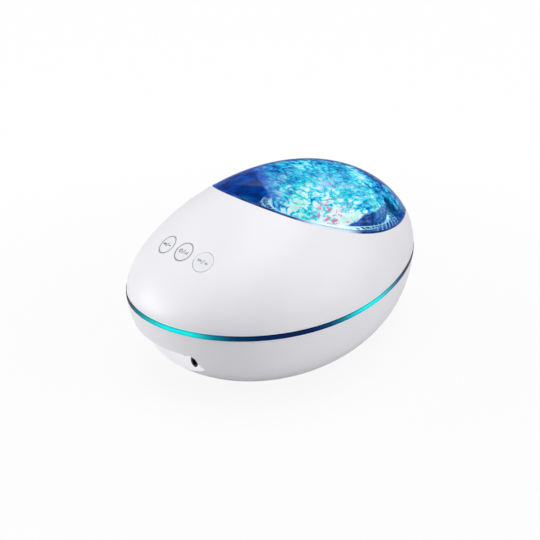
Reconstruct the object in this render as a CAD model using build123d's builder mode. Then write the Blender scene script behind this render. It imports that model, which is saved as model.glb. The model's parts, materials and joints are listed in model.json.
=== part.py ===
# Egg-shaped projector lamp: a white two-part case, a clear cover over a turning wave dome,
# a trim ring on the seam, three push buttons on the nose and a recess with three sockets under it.
# Millimetres. +Z is up, the buttons' end points to -Y, and the lamp stands on Z = 0.
import os
from math import acos, atan, cos, degrees, pi, radians, sin, sqrt, tan

from build123d import *

os.makedirs("parts", exist_ok=True)

# Egg: length, and the greatest half width, height above the seam and depth below it
half_length = 82.5
half_width = 55.0
upper_height = 53.0
lower_depth = 47.0
base_cut = 5.0
seam_z = lower_depth - base_cut
# Each outline leans towards one tip and is filled out or drawn in near both
width_lean, width_fill = -0.30, -0.06
upper_lean, upper_fill = 0.14, -0.25
lower_lean, lower_fill = 0.06, 0.15
stations = 14

# Case walls and clearances
wall = 2.4
cover_wall = 2.0
running_gap = 0.05
fit_gap = 0.2
reach = 4 * half_length

# Screws: head radius, head height and shaft radius
small_screw = (1.9, 1.2, 1.0)
lamp_screw = (2.2, 1.5, 1.1)
case_screw = (2.7, 1.8, 1.5)
screw_clearance = 0.2
pilot_depth = 5.0
lamp_pilot_depth = 7.0

# Trim ring on the seam
trim_height = 2.4
trim_depth = 1.25
trim_proud = 0.25

# Base and its feet
base_z = 1.0
floor = 2.4
foot_radius = 4.5
foot_sink = 0.8
rear_foot_x, rear_foot_y = 0.2 * half_width, half_length - 46.5

# Cut on which the clear cover sits: an arc seen from the side
rim_front_y, rim_front_z = -0.412 * half_length, seam_z + 0.883 * upper_height
rim_rear_y, rim_rear_z = 0.9333 * half_length, seam_z + 0.3868 * upper_height
rim_sag = 6.3
seal_height = 0.8

# Wave dome, on an axis that leans to the rear. The ring round it takes the room that the egg leaves
dome_y, dome_z = 0.34 * half_length, seam_z + upper_height - 29.0
dome_lean = 10.0
bezel_reach = 0.7 * min(half_width, half_length / 1.5) - 3.0
dome_radius = bezel_reach - 6.5
dome_wall = 1.6
dome_step = 2.0
dome_height = dome_radius - 8.5
crown_arc = 88.5
wave_count = 10
wave_depth = 0.5
flange_radius = dome_radius + 2.2
flange_thickness = 1.5
collar_wall = 1.4
collar_drop = 10.5

# Ring gear and pinion that turn the dome
ring_root = dome_radius - 2.25
ring_teeth = 56
pinion_teeth = 14
pressure_angle = 20.0
backlash = 0.2
gear_height = 4.0
gear_low = -10.0

# Lamp deck, the tray that carries the dome and the lamp unit
deck_top = -2.0
deck_thickness = 2.0
deck_screw_x, deck_screw_y = 0.6 * half_width, -dome_radius - 15.0
deck_rear_screw_y = half_length - dome_y - 9.0
lug_width = 7.0
lug_drop = 6.0
lamp_post_radius = 2.8
motor_post_radius = 2.2

# Ribbed bezel round the dome
bezel_top = 1.3
bezel_lip = 0.8
bezel_gap = 0.7
bezel_ribs = 60
rib_width = 0.9
rib_height = 0.5
bezel_slope_foot = bezel_reach - rib_height
bezel_slope_top = bezel_slope_foot - 1.6

# Lamp unit under the dome
cup_wall = 1.55
cup_rise = -2.0
cup_floor_top = -20.0
cup_floor = 2.0
ear_radius = dome_radius + 5.0
ear_half_width = 3.5
ear_angles = (90.0, -25.0, 205.0)
shoulder_width = 2.0
led_board_gap = 0.35
board_thickness = 1.6
led_size = 5.0
led_inner_ring = 7.0
led_outer_inset = 7.5
sink_inset = 4.0
sink_base = 2.0
fin_height = 5.0
fin_pitch = 5.2
fin_thickness = 1.2

# Gear motor
motor_gap = 1.0
motor_length = 14.0
motor_plate_top = -10.8
motor_plate = 1.4
motor_post_x = 12.5
motor_shaft_radius = 1.25
motor_neck_radius = 3.0
motor_tail = (8.0, 4.0, 1.2)
shaft_depth = 4.6

# Chassis posts that join the deck to the lower shell
post_radius = 3.5
post_joint_z = 30.0
front_post = (0.3636 * half_width, dome_y - dome_radius - 11.0)
rear_post = (14.0, half_length - 25.5)
screw_seat_z = 24.0
case_screw_length = 16.0

# Buttons on the nose
button_y = 21.1 - half_length
button_pitch = 13.4
button_radius = 5.0
button_gap = 0.2
button_flange = 6.1
button_flange_top = -5.9
button_flange_thickness = 0.8
button_travel = 0.5
stem_radius = 1.6
stem_end = -8.4
plunger_radius = 1.5
plunger_depth = 1.2
cap_reach = 5.0
switch_top = -9.4
switch_size = 6.0
switch_height = 3.5
button_board = (52.0, 9.6, 1.2)
button_post_x = 23.0
button_post_radius = 2.4

# Recess with the sockets, under the nose
recess_half_width = 0.42 * half_width
recess_top_z = 29.2
recess_back_y = 14.0 - half_length
recess_corner = 2.0
audio_x, audio_z = 15.2, 21.7
audio_nose = 2.7
audio_bore = 1.8
audio_depth = 14.0
audio_body = (6.4, 12.0)
card_x, card_z = 2.8, 22.6
card_slot = (11.8, 1.9)
card_depth = 14.0
power_x, power_z = -9.2, 21.6
power_mouth = (7.8, 2.8)
power_depth = 8.0
socket_rear = 1.5

# Main board
main_board_z = 17.6
main_board_width = 0.6545 * half_width
main_board_front_y = recess_back_y + 4.5
main_board_rear_y = main_board_front_y + 35.0
board_post_radius = 2.6
board_post_edge = 3.5
board_post_pitch = 13.5
chip = (10.0, 1.4)
capacitor_x, capacitor_radius, capacitor_height = main_board_width / 4, 2.5, 7.0
plug = (6.0, 4.6, 5.0)

# Speaker, facing down through the base
speaker_y = 12.0
speaker_square = 34.0
speaker_rim = 1.2
speaker_cone_radius = 14.0
cone_neck, cone_neck_z = 4.2, 6.6
cone_wall = 0.8
dust_cap = (3.6, 4.8, 6.2)
speaker_depth = 9.0
magnet_radius = 10.0
magnet_height = 5.0
voice_radius = 4.6
grille_pitch = 3.6
grille_hole = 0.9


def share(u, lean, fill):
    """Part of the greatest size left at u, from -1 at the front tip to 1 at the rear one."""
    return sqrt(1 - u * u) * (1 + lean * u + fill * u * u)


def egg(inset):
    """The whole egg as one solid, drawn in by inset all round."""
    length = half_length - inset
    sections = []
    for station in range(1, stations):
        u = -cos(pi * station / stations)
        width = (half_width - inset) * share(u, width_lean, width_fill)
        height = (upper_height - inset) * share(u, upper_lean, upper_fill)
        depth = (lower_depth - inset) * share(u, lower_lean, lower_fill)
        with BuildSketch(Plane.XZ.offset(-u * length)) as section:
            with BuildLine():
                EllipticalCenterArc((0, seam_z), width, height, start_angle=0, arc_size=180)
                EllipticalCenterArc((0, seam_z), width, depth, start_angle=180, arc_size=180)
            make_face()
        sections.append(section.sketch.face())
    with BuildPart() as body:
        loft([Vertex(0, -length, seam_z), *sections, Vertex(0, length, seam_z)])
    return body.part


def ring(plane, low, high, outer, inner=0.0, mode=Mode.ADD):
    """A disc or ring about a plane's axis, from low to high above the plane."""
    with BuildSketch(plane.offset(low)) as outline:
        Circle(outer)
        if inner > 0:
            Circle(inner, mode=Mode.SUBTRACT)
    extrude(outline.sketch, amount=high - low, mode=mode)


def block(plane, low, high, width, depth, corner=0.0, mode=Mode.ADD):
    """A block centred on a plane's axis, with its upright edges rounded by corner."""
    with BuildSketch(plane.offset(low)) as outline:
        if corner > 0:
            RectangleRounded(width, depth, corner)
        else:
            Rectangle(width, depth)
    extrude(outline.sketch, amount=high - low, mode=mode)


def beside(plane, x, y):
    """The same plane with its origin moved by x and y along itself."""
    return Plane(origin=plane.from_local_coords(Vector(x, y, 0)), x_dir=plane.x_dir, z_dir=plane.z_dir)


def upright(plane):
    """The plane through another one's axis, with that axis as its own upward direction."""
    return Plane(origin=plane.origin, x_dir=plane.x_dir, z_dir=-plane.y_dir)


def flipped(plane):
    """The same plane, facing the other way."""
    return Plane(origin=plane.origin, x_dir=plane.x_dir, z_dir=-plane.z_dir)


def turned(plane, profile, mode=Mode.ADD):
    """A profile of (radius, height) points, turned about a plane's axis."""
    with BuildSketch(upright(plane)) as outline:
        with BuildLine():
            Polyline(*profile, close=True)
        make_face()
    revolve(outline.sketch, axis=Axis(plane.origin, plane.z_dir), mode=mode)


def screw(plane, size, length):
    """A pan-head screw whose head sits on a plane, with its shaft going down."""
    head, head_height, shaft = size
    ring(plane, 0, head_height, head)
    ring(plane, -length, 0, shaft)


def above_rim(lift=0.0):
    """All that lies above the cut for the cover, with the cut raised by lift."""
    with BuildPart() as region:
        with BuildSketch(Plane.YZ):
            with BuildLine():
                ends = (rim_front_y, rim_front_z + lift), (rim_rear_y, rim_rear_z + lift)
                cut = SagittaArc(*ends, -rim_sag)
                front = cut @ 0 - (cut % 0) * half_length
                rear = cut @ 1 + (cut % 1) * half_length
                Polyline(cut @ 1, rear, (rear.X, reach), (front.X, reach), front, cut @ 0)
            make_face()
        extrude(amount=2 * half_width, both=True)
    return region.part


def gear_outline(teeth, phase):
    """Points of a spur gear with one tooth centred on the angle phase, in degrees."""
    pitch_radius = gear_module * teeth / 2
    base_radius = pitch_radius * cos(radians(pressure_angle))
    root_radius = pitch_radius - 1.25 * gear_module
    tip_radius = pitch_radius + 0.95 * gear_module

    def involute(radius):
        angle = acos(base_radius / max(radius, base_radius))
        return tan(angle) - angle

    pitch_half = pi / (2 * teeth) - backlash / (4 * pitch_radius) + involute(pitch_radius)
    radii = (root_radius, max(base_radius, root_radius), pitch_radius, tip_radius)
    flank = [(radius, pitch_half - involute(radius)) for radius in radii]
    if base_radius <= root_radius:
        flank = flank[1:]
    points = []
    for tooth in range(teeth):
        centre = radians(phase) + 2 * pi * tooth / teeth
        for radius, half in flank:
            points.append((radius * cos(centre - half), radius * sin(centre - half)))
        for radius, half in reversed(flank):
            points.append((radius * cos(centre + half), radius * sin(centre + half)))
    return points


gear_module = ring_root / (ring_teeth / 2 - 1.25)

# Planes that the pieces are placed by
dome_plane = Plane(
    origin=(0, dome_y, dome_z),
    x_dir=(1, 0, 0),
    z_dir=(0, sin(radians(dome_lean)), cos(radians(dome_lean))),
)
gear_distance = gear_module * (ring_teeth + pinion_teeth) / 2
motor_plane = beside(dome_plane, 0, -gear_distance)


def skin_z(y):
    """Height of the outer skin on the centre line."""
    return seam_z + upper_height * share(y / half_length, upper_lean, upper_fill)


button_slope = atan((skin_z(button_y + 1) - skin_z(button_y - 1)) / 2)
button_plane = Plane(
    origin=(0, button_y, skin_z(button_y)),
    x_dir=(1, 0, 0),
    z_dir=(0, -sin(button_slope), cos(button_slope)),
)
recess_plane = Plane(origin=(0, recess_back_y, 0), x_dir=(1, 0, 0), z_dir=(0, -1, 0))

# Radii that follow from the fits round the dome's collar
gear_bore = ring_root - collar_wall
collar_inner = gear_bore - collar_wall
cup_outer = collar_inner - running_gap
cup_inner = cup_outer - cup_wall
led_board_radius = cup_inner - led_board_gap
led_rings = ((led_inner_ring, 4), (led_board_radius - led_outer_inset, 8))
sink_radius = led_board_radius - sink_inset
motor_radius = gear_distance - cup_outer - shoulder_width - motor_gap
deck_bottom = deck_top - deck_thickness
deck_hole = flange_radius + 1.0
motor_top = motor_plate_top - motor_plate
ear_places = [
    (ear_radius * cos(radians(angle)), ear_radius * sin(radians(angle))) for angle in ear_angles
]
deck_screw_places = [(-deck_screw_x, deck_screw_y), (deck_screw_x, deck_screw_y), (0, deck_rear_screw_y)]
post_places = [(-front_post[0], front_post[1]), front_post, (-rear_post[0], rear_post[1]), rear_post]
foot_places = post_places[:2] + [(-rear_foot_x, rear_foot_y), (rear_foot_x, rear_foot_y)]
button_places = [-button_pitch, 0.0, button_pitch]
floor_z = base_z + floor
board_post_places = [
    (side * (main_board_width / 2 - board_post_edge), y)
    for side in (-1, 1)
    for y in (main_board_rear_y - board_post_edge, main_board_rear_y - board_post_edge - board_post_pitch)
]
speaker_screw_offset = speaker_square / 2 - 2.5
speaker_screw_places = [
    (side * speaker_screw_offset, speaker_y + end * speaker_screw_offset)
    for side in (-1, 1)
    for end in (-1, 1)
]
pilot = small_screw[2]
board_hole = pilot + screw_clearance

outer_egg = egg(0)
inner_egg = egg(wall)
rim_region = above_rim()

# Slab on the seam that the trim ring fills
with BuildPart() as trim_slab:
    with BuildSketch(Plane.XY.offset(seam_z - trim_height / 2)):
        Rectangle(4 * half_width, 4 * half_length)
    extrude(amount=trim_height)
    add(egg(trim_depth), mode=Mode.SUBTRACT)

# Trim ring, let into both shells
with BuildPart() as trim_ring:
    add(egg(-trim_proud))
    split(bisect_by=Plane.XY.offset(seam_z + trim_height / 2), keep=Keep.BOTTOM)
    split(bisect_by=Plane.XY.offset(seam_z - trim_height / 2), keep=Keep.TOP)
    add(egg(trim_depth - running_gap), mode=Mode.SUBTRACT)


def recess_block(grow):
    """The space of the socket recess, made larger by grow on its closed sides."""
    half = recess_half_width + grow
    top = recess_top_z + grow
    with BuildPart() as space:
        with BuildSketch(recess_plane.offset(-grow)):
            with BuildLine():
                corner = recess_corner + grow
                Line((-half, -reach), (-half, top - corner))
                CenterArc((corner - half, top - corner), corner, 180, -90)
                Line((corner - half, top), (half - corner, top))
                CenterArc((half - corner, top - corner), corner, 90, -90)
                Line((half, top - corner), (half, -reach))
                Line((half, -reach), (-half, -reach))
            make_face()
        extrude(amount=half_length)
    return space.part


# Room inside the lower shell, with the posts left standing in it
with BuildPart() as lower_room:
    add(inner_egg)
    split(bisect_by=Plane.XY.offset(seam_z), keep=Keep.BOTTOM)
    split(bisect_by=Plane.XY.offset(floor_z), keep=Keep.TOP)
    add(recess_block(wall), mode=Mode.SUBTRACT)
    for place in post_places:
        ring(beside(Plane.XY, *place), 0, post_joint_z, post_radius, mode=Mode.SUBTRACT)
    for place in board_post_places:
        ring(beside(Plane.XY, *place), 0, main_board_z, board_post_radius, mode=Mode.SUBTRACT)

with BuildPart() as lower_shell:
    add(outer_egg)
    split(bisect_by=Plane.XY.offset(seam_z), keep=Keep.BOTTOM)
    split(bisect_by=Plane.XY.offset(base_z), keep=Keep.TOP)
    add(recess_block(0), mode=Mode.SUBTRACT)
    add(lower_room.part, mode=Mode.SUBTRACT)
    add(trim_slab.part, mode=Mode.SUBTRACT)
    for place in post_places:
        post = beside(Plane.XY, *place)
        ring(post, 0, screw_seat_z, case_screw[0] + screw_clearance, mode=Mode.SUBTRACT)
        ring(post, screw_seat_z, post_joint_z, case_screw[2] + screw_clearance, mode=Mode.SUBTRACT)
    for place in foot_places:
        ring(beside(Plane.XY, *place), 0, base_z + foot_sink, foot_radius, mode=Mode.SUBTRACT)
    for place in board_post_places:
        ring(beside(Plane.XY, *place), main_board_z - pilot_depth, main_board_z, pilot, mode=Mode.SUBTRACT)
    for place in speaker_screw_places:
        ring(beside(Plane.XY, *place), floor_z - floor + 0.8, floor_z, pilot, mode=Mode.SUBTRACT)
    with BuildSketch(Plane.XY):
        with Locations((0, speaker_y)):
            Circle(grille_hole)
            for turn in (1, 2, 3):
                with PolarLocations(turn * grille_pitch, 6 * turn):
                    Circle(grille_hole)
    extrude(amount=floor_z, mode=Mode.SUBTRACT)
    with BuildSketch(recess_plane):
        with Locations((audio_x, audio_z)):
            Circle(audio_nose + running_gap)
        with Locations((card_x, card_z)):
            Rectangle(card_slot[0] + fit_gap, card_slot[1] + fit_gap)
        with Locations((power_x, power_z)):
            RectangleRounded(power_mouth[0] + fit_gap, power_mouth[1] + fit_gap, 0.8)
    extrude(amount=-wall, mode=Mode.SUBTRACT)

# Room inside the upper shell, with the lugs and the button posts left standing in it
with BuildPart() as upper_room:
    add(inner_egg)
    split(bisect_by=Plane.XY.offset(seam_z), keep=Keep.TOP)
    for side in (-1, 1):
        lug = beside(dome_plane, side * (deck_screw_x + lug_width), deck_screw_y)
        block(lug, deck_bottom - lug_drop, deck_bottom, 3 * lug_width, lug_width, mode=Mode.SUBTRACT)
        post = beside(button_plane, side * button_post_x, 0)
        ring(post, switch_top - switch_height, 0, button_post_radius, mode=Mode.SUBTRACT)
    lug = beside(dome_plane, 0, deck_rear_screw_y + lug_width)
    block(lug, deck_bottom - lug_drop, deck_bottom, lug_width, 3 * lug_width, mode=Mode.SUBTRACT)

with BuildPart() as upper_shell:
    add(outer_egg)
    split(bisect_by=Plane.XY.offset(seam_z), keep=Keep.TOP)
    add(rim_region, mode=Mode.SUBTRACT)
    add(upper_room.part, mode=Mode.SUBTRACT)
    add(trim_slab.part, mode=Mode.SUBTRACT)
    for x in button_places:
        spot = beside(button_plane, x, 0)
        ring(spot, button_flange_top, cap_reach, button_radius + button_gap, mode=Mode.SUBTRACT)
    for side in (-1, 1):
        post = beside(button_plane, side * button_post_x, 0)
        ring(post, switch_top - switch_height, switch_top, pilot, mode=Mode.SUBTRACT)
    for place in deck_screw_places:
        ring(beside(dome_plane, *place), deck_bottom - pilot_depth, deck_bottom, pilot, mode=Mode.SUBTRACT)

# Clear cover, flush with the case, and the dark seal that it sits on
with BuildPart() as clear_cover:
    add(outer_egg)
    add(egg(cover_wall), mode=Mode.SUBTRACT)
    add(above_rim(seal_height), mode=Mode.INTERSECT)

with BuildPart() as cover_seal:
    add(outer_egg)
    add(inner_egg, mode=Mode.SUBTRACT)
    add(rim_region, mode=Mode.INTERSECT)
    add(above_rim(seal_height), mode=Mode.SUBTRACT)

# Deck: a tray across the upper shell, with posts for the lamp unit, the motor and the case
with BuildPart() as case_posts:
    for place in post_places:
        ring(beside(Plane.XY, *place), post_joint_z, reach, post_radius)
    split(bisect_by=dome_plane.offset(deck_bottom), keep=Keep.BOTTOM)

with BuildPart() as lamp_deck:
    add(egg(wall + fit_gap))
    split(bisect_by=dome_plane.offset(deck_top), keep=Keep.BOTTOM)
    split(bisect_by=dome_plane.offset(deck_bottom), keep=Keep.TOP)
    ring(dome_plane, deck_bottom, deck_top, deck_hole, mode=Mode.SUBTRACT)
    add(case_posts.part)
    for place in post_places:
        post = beside(Plane.XY, *place)
        ring(post, post_joint_z, post_joint_z + 2 * pilot_depth, case_screw[2], mode=Mode.SUBTRACT)
    for place in ear_places:
        post = beside(dome_plane, *place)
        ring(post, cup_floor_top, deck_bottom, lamp_post_radius)
        ring(post, cup_floor_top, cup_floor_top + lamp_pilot_depth, lamp_screw[2], mode=Mode.SUBTRACT)
    for side in (-1, 1):
        post = beside(motor_plane, side * motor_post_x, 0)
        ring(post, motor_plate_top, deck_bottom, motor_post_radius)
        ring(post, motor_plate_top, motor_plate_top + pilot_depth, pilot, mode=Mode.SUBTRACT)
    for place in deck_screw_places:
        ring(beside(dome_plane, *place), deck_bottom, deck_top, board_hole, mode=Mode.SUBTRACT)

# Bezel with a ribbed skirt, which holds the dome's flange down
lip_inner = dome_radius + bezel_gap
with BuildPart() as ribbed_bezel:
    turned(dome_plane, [
        (lip_inner, bezel_top - bezel_lip),
        (lip_inner, bezel_top),
        (bezel_slope_top, bezel_top),
        (bezel_slope_foot, deck_top),
        (deck_hole, deck_top),
        (deck_hole, bezel_top - bezel_lip),
    ])
    with BuildSketch(upright(dome_plane)) as rib_outline:
        with BuildLine():
            Polyline(
                (bezel_slope_top - rib_height, bezel_top),
                (bezel_slope_top, bezel_top + rib_height / 2),
                (bezel_slope_top + rib_height, bezel_top),
                (bezel_slope_foot + rib_height, deck_top),
                (bezel_slope_foot - rib_height, deck_top),
                close=True,
            )
        make_face()
    rib = extrude(rib_outline.sketch, amount=rib_width / 2, both=True, mode=Mode.PRIVATE)
    ribs = [
        rib.rotate(Axis(dome_plane.origin, dome_plane.z_dir), 360 * number / bezel_ribs)
        for number in range(bezel_ribs)
    ]
    add(ribs)


def rippled_crown():
    """Points of the dome's outer skin from its step to its top, with ring waves sunk into the ellipse."""
    points = []
    steps = 8 * wave_count
    for step in range(steps + 1):
        angle = radians(crown_arc) * step / steps
        normal = Vector(cos(angle) / dome_radius, sin(angle) / dome_height).normalized()
        depth = wave_depth / 2 * (1 - cos(2 * pi * wave_count * step / steps))
        skin = Vector(dome_radius * cos(angle), dome_step + dome_height * sin(angle))
        points.append(skin - normal * depth)
    return points


# Wave dome: rippled shell, flange and collar in one clear moulding
with BuildPart() as wave_dome:
    with BuildSketch(upright(dome_plane)) as dome_outline:
        with BuildLine():
            crown = Spline(*rippled_crown())
            Polyline(crown @ 0, (dome_radius, 0), (0, 0), (0, (crown @ 1).Y), crown @ 1)
        make_face()
    revolve(dome_outline.sketch, axis=Axis(dome_plane.origin, dome_plane.z_dir))
    ring(dome_plane, -flange_thickness, 0, flange_radius)
    ring(dome_plane, -collar_drop, 0, gear_bore)
    with BuildSketch(upright(dome_plane)) as hollow_outline:
        with BuildLine():
            width, height = dome_radius - dome_wall, dome_height - dome_wall
            vault = EllipticalCenterArc((0, dome_step), width, height, start_angle=0, arc_size=crown_arc)
            Polyline(vault @ 0, (width, 0), (0, 0), (0, (vault @ 1).Y), vault @ 1)
        make_face()
    revolve(hollow_outline.sketch, axis=Axis(dome_plane.origin, dome_plane.z_dir), mode=Mode.SUBTRACT)
    ring(dome_plane, -collar_drop, 0, collar_inner, mode=Mode.SUBTRACT)

# Ring gear on the dome's collar, and the pinion that drives it
with BuildPart() as ring_gear:
    with BuildSketch(dome_plane.offset(gear_low)):
        with BuildLine():
            Polyline(*gear_outline(ring_teeth, -90), close=True)
        make_face()
        Circle(gear_bore, mode=Mode.SUBTRACT)
    extrude(amount=gear_height)

with BuildPart() as pinion:
    with BuildSketch(motor_plane.offset(gear_low)):
        with BuildLine():
            Polyline(*gear_outline(pinion_teeth, 90 + 180 / pinion_teeth), close=True)
        make_face()
        Circle(motor_shaft_radius, mode=Mode.SUBTRACT)
    extrude(amount=gear_height)

shaft_low = motor_top - shaft_depth
with BuildPart() as pinion_shaft:
    ring(motor_plane, shaft_low, gear_low + gear_height + 0.6, motor_shaft_radius)

# Gear motor on its plate
with BuildPart() as gear_motor:
    ring(motor_plane, motor_top - motor_length, motor_top, motor_radius)
    chamfer(gear_motor.faces().sort_by(Axis(motor_plane.origin, motor_plane.z_dir))[0].edges(), 0.8)
    ring(motor_plane, motor_top, motor_plate_top - 0.2, motor_neck_radius)
    bore = motor_shaft_radius + running_gap
    ring(motor_plane, shaft_low - 0.2, motor_plate_top, bore, mode=Mode.SUBTRACT)
    tail_width, tail_depth, tail_height = motor_tail
    tail_top = motor_top - motor_length
    block(motor_plane, tail_top - tail_height, tail_top, tail_width, tail_depth)

with BuildPart() as motor_bracket:
    with BuildSketch(motor_plane.offset(motor_top)):
        SlotOverall(2 * motor_post_x + 5.4, 11)
        Circle(motor_neck_radius + 0.1, mode=Mode.SUBTRACT)
        with Locations((-motor_post_x, 0), (motor_post_x, 0)):
            Circle(board_hole, mode=Mode.SUBTRACT)
    extrude(amount=motor_plate)

with BuildPart() as motor_screws:
    for side in (-1, 1):
        under = beside(motor_plane, side * motor_post_x, 0).offset(motor_top)
        screw(flipped(under), small_screw, pilot_depth)

# Lamp unit: cup with its ears, reflector, light-emitting diodes on their board, heat sink
with BuildPart() as lamp_cup:
    with BuildSketch(dome_plane.offset(cup_floor_top - cup_floor)):
        Circle(cup_outer + shoulder_width)
        for x, y in ear_places:
            SlotCenterPoint((x / 2, y / 2), (x, y), 2 * ear_half_width)
        with Locations(*ear_places):
            Circle(lamp_screw[2] + screw_clearance, mode=Mode.SUBTRACT)
    extrude(amount=cup_floor)
    ring(dome_plane, cup_floor_top, cup_rise, cup_outer, cup_outer - cup_wall)
    shoulder_top = -collar_drop - 0.1
    ring(dome_plane, shoulder_top - 2, shoulder_top, cup_outer + shoulder_width, cup_outer - cup_wall / 2)

with BuildPart() as lamp_screws:
    for place in ear_places:
        under = beside(dome_plane, *place).offset(cup_floor_top - cup_floor)
        screw(flipped(under), lamp_screw, cup_floor + lamp_pilot_depth - 1)

with BuildPart() as reflector:
    low = cup_floor_top + board_thickness
    turned(dome_plane, [
        (led_board_radius - 3.2, low),
        (led_board_radius - 2.4, low),
        (cup_inner - 0.05, cup_rise - 1),
        (cup_inner - 0.05, cup_rise),
        (cup_inner - 0.85, cup_rise),
    ])

with BuildPart() as led_board:
    ring(dome_plane, cup_floor_top, cup_floor_top + board_thickness, led_board_radius)

with BuildPart() as leds:
    for radius, count in led_rings:
        for number in range(count):
            angle = 2 * pi * number / count
            spot = beside(dome_plane, radius * cos(angle), radius * sin(angle))
            spot = spot.offset(cup_floor_top + board_thickness)
            block(spot, 0, 1.4, led_size, led_size)
            ring(spot, 1.4, 1.8, 1.9)

with BuildPart() as heat_sink:
    sink_top = cup_floor_top - cup_floor
    ring(dome_plane, sink_top - sink_base - fin_height, sink_top, sink_radius)
    fin_gap = fin_pitch - fin_thickness
    with BuildSketch(dome_plane.offset(sink_top - sink_base - fin_height)):
        with GridLocations(fin_pitch, 1, 8, 1):
            Rectangle(fin_gap, 3 * sink_radius)
    extrude(amount=fin_height, mode=Mode.SUBTRACT)

# Screws of the deck and of the case
with BuildPart() as deck_screws:
    for place in deck_screw_places:
        screw(beside(dome_plane, *place).offset(deck_top), small_screw, deck_thickness + pilot_depth - 1)

with BuildPart() as case_screws:
    for x, y in post_places:
        screw(flipped(beside(Plane.XY, x, y).offset(screw_seat_z)), case_screw, case_screw_length)

with BuildPart() as rubber_feet:
    for place in foot_places:
        ring(beside(Plane.XY, *place), 0, base_z + foot_sink, foot_radius - 0.02)

# Buttons: caps flush with the nose, each over the plunger of its switch
button_names = ("button_minus", "button_mode", "button_plus")
button_nodes = {}
for name, x in zip(button_names, button_places):
    spot = beside(button_plane, x, 0)
    with BuildPart() as cap:
        ring(spot, button_flange_top, cap_reach, button_radius)
        add(outer_egg, mode=Mode.INTERSECT)
        low = button_flange_top - button_flange_thickness
        ring(spot, low, button_flange_top, button_flange)
        ring(spot, stem_end, low, stem_radius)
    button_nodes[name] = cap.part
    with BuildPart() as plunger:
        ring(spot, switch_top - plunger_depth, stem_end, plunger_radius)
    button_nodes[name.replace("button", "plunger")] = plunger.part

with BuildPart() as switches:
    for x in button_places:
        spot = beside(button_plane, x, 0)
        block(spot, switch_top - switch_height, switch_top, switch_size, switch_size)
        well = switch_top - plunger_depth - button_travel - fit_gap
        ring(spot, well, switch_top, plunger_radius + running_gap, mode=Mode.SUBTRACT)

board_top = switch_top - switch_height
with BuildPart() as switch_board:
    block(button_plane, board_top - button_board[2], board_top, button_board[0], button_board[1], 1)
    for side in (-1, 1):
        post = beside(button_plane, side * button_post_x, 0)
        ring(post, board_top - button_board[2], board_top, board_hole, mode=Mode.SUBTRACT)

with BuildPart() as switch_board_screws:
    for side in (-1, 1):
        under = beside(button_plane, side * button_post_x, 0).offset(board_top - button_board[2])
        screw(flipped(under), small_screw, button_board[2] + 3)

# Main board with its sockets, chip, capacitors and plugs
board_z = main_board_z + board_thickness
board_mid_y = (main_board_front_y + main_board_rear_y) / 2
board_length = main_board_rear_y - main_board_front_y
with BuildPart() as main_board:
    block(beside(Plane.XY, 0, board_mid_y), main_board_z, board_z, main_board_width, board_length, 1.5)
    for place in board_post_places:
        ring(beside(Plane.XY, *place), main_board_z, board_z, board_hole, mode=Mode.SUBTRACT)

with BuildPart() as board_screws:
    for place in board_post_places:
        screw(beside(Plane.XY, *place).offset(board_z), small_screw, pilot_depth)

panel_inner_y = recess_back_y + wall
with BuildPart() as audio_socket:
    width, depth = audio_body
    body = beside(Plane.XY, audio_x, main_board_front_y + depth / 2)
    ring(beside(recess_plane, audio_x, audio_z), recess_back_y - main_board_front_y, 0, audio_nose)
    block(body, board_z, 2 * audio_z - board_z, width, depth)
    ring(beside(recess_plane, audio_x, audio_z), -audio_depth, 0, audio_bore, mode=Mode.SUBTRACT)

with BuildPart() as card_socket:
    body = beside(Plane.XY, card_x, panel_inner_y + card_depth / 2)
    block(body, board_z, card_z + 2, card_slot[0] + 2, card_depth)
    with BuildSketch(recess_plane.offset(-wall)):
        with Locations((card_x, card_z)):
            Rectangle(*card_slot)
    extrude(amount=socket_rear - card_depth, mode=Mode.SUBTRACT)

with BuildPart() as power_socket:
    body = beside(Plane.XY, power_x, panel_inner_y + power_depth / 2)
    block(body, board_z, power_z + 2.1, power_mouth[0] + 1.4, power_depth)
    with BuildSketch(recess_plane.offset(-wall)):
        with Locations((power_x, power_z)):
            RectangleRounded(power_mouth[0], power_mouth[1], 0.7)
            Rectangle(power_mouth[0] / 2, 0.7, mode=Mode.SUBTRACT)
    extrude(amount=socket_rear - power_depth, mode=Mode.SUBTRACT)

with BuildPart() as main_chip:
    width, height = chip
    block(beside(Plane.XY, 0, board_mid_y + 4), board_z, board_z + height, width, width)

with BuildPart() as capacitors:
    for x in (-capacitor_x, capacitor_x):
        spot = beside(Plane.XY, x, board_mid_y + 3)
        ring(spot, board_z, board_z + capacitor_height, capacitor_radius)
    fillet(capacitors.edges().group_by(Axis.Z)[-1], 0.4)

with BuildPart() as board_plugs:
    width, depth, height = plug
    for x in (-width, 2.0):
        block(beside(Plane.XY, x, main_board_rear_y - 3.5), board_z, board_z + height, width, depth)

# Speaker, screwed down over the grille in the base
speaker_plane = Plane(origin=(0, speaker_y, floor_z), x_dir=(1, 0, 0), z_dir=(0, 0, 1))
speaker_top = speaker_rim + speaker_depth
with BuildPart() as speaker_frame:
    block(speaker_plane, 0, speaker_rim, speaker_square, speaker_square, 4)
    ring(speaker_plane, 0, speaker_rim, speaker_cone_radius + 0.6, mode=Mode.SUBTRACT)
    turned(speaker_plane, [
        (speaker_cone_radius + 0.6, 0.6),
        (speaker_cone_radius + 1.8, 0.6),
        (magnet_radius + 0.8, speaker_top),
        (voice_radius, speaker_top),
        (voice_radius, speaker_top - 0.8),
        (magnet_radius, speaker_top - 0.8),
    ])
    for place in speaker_screw_places:
        ring(beside(Plane.XY, *place).offset(floor_z), 0, speaker_rim, board_hole, mode=Mode.SUBTRACT)

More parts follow.
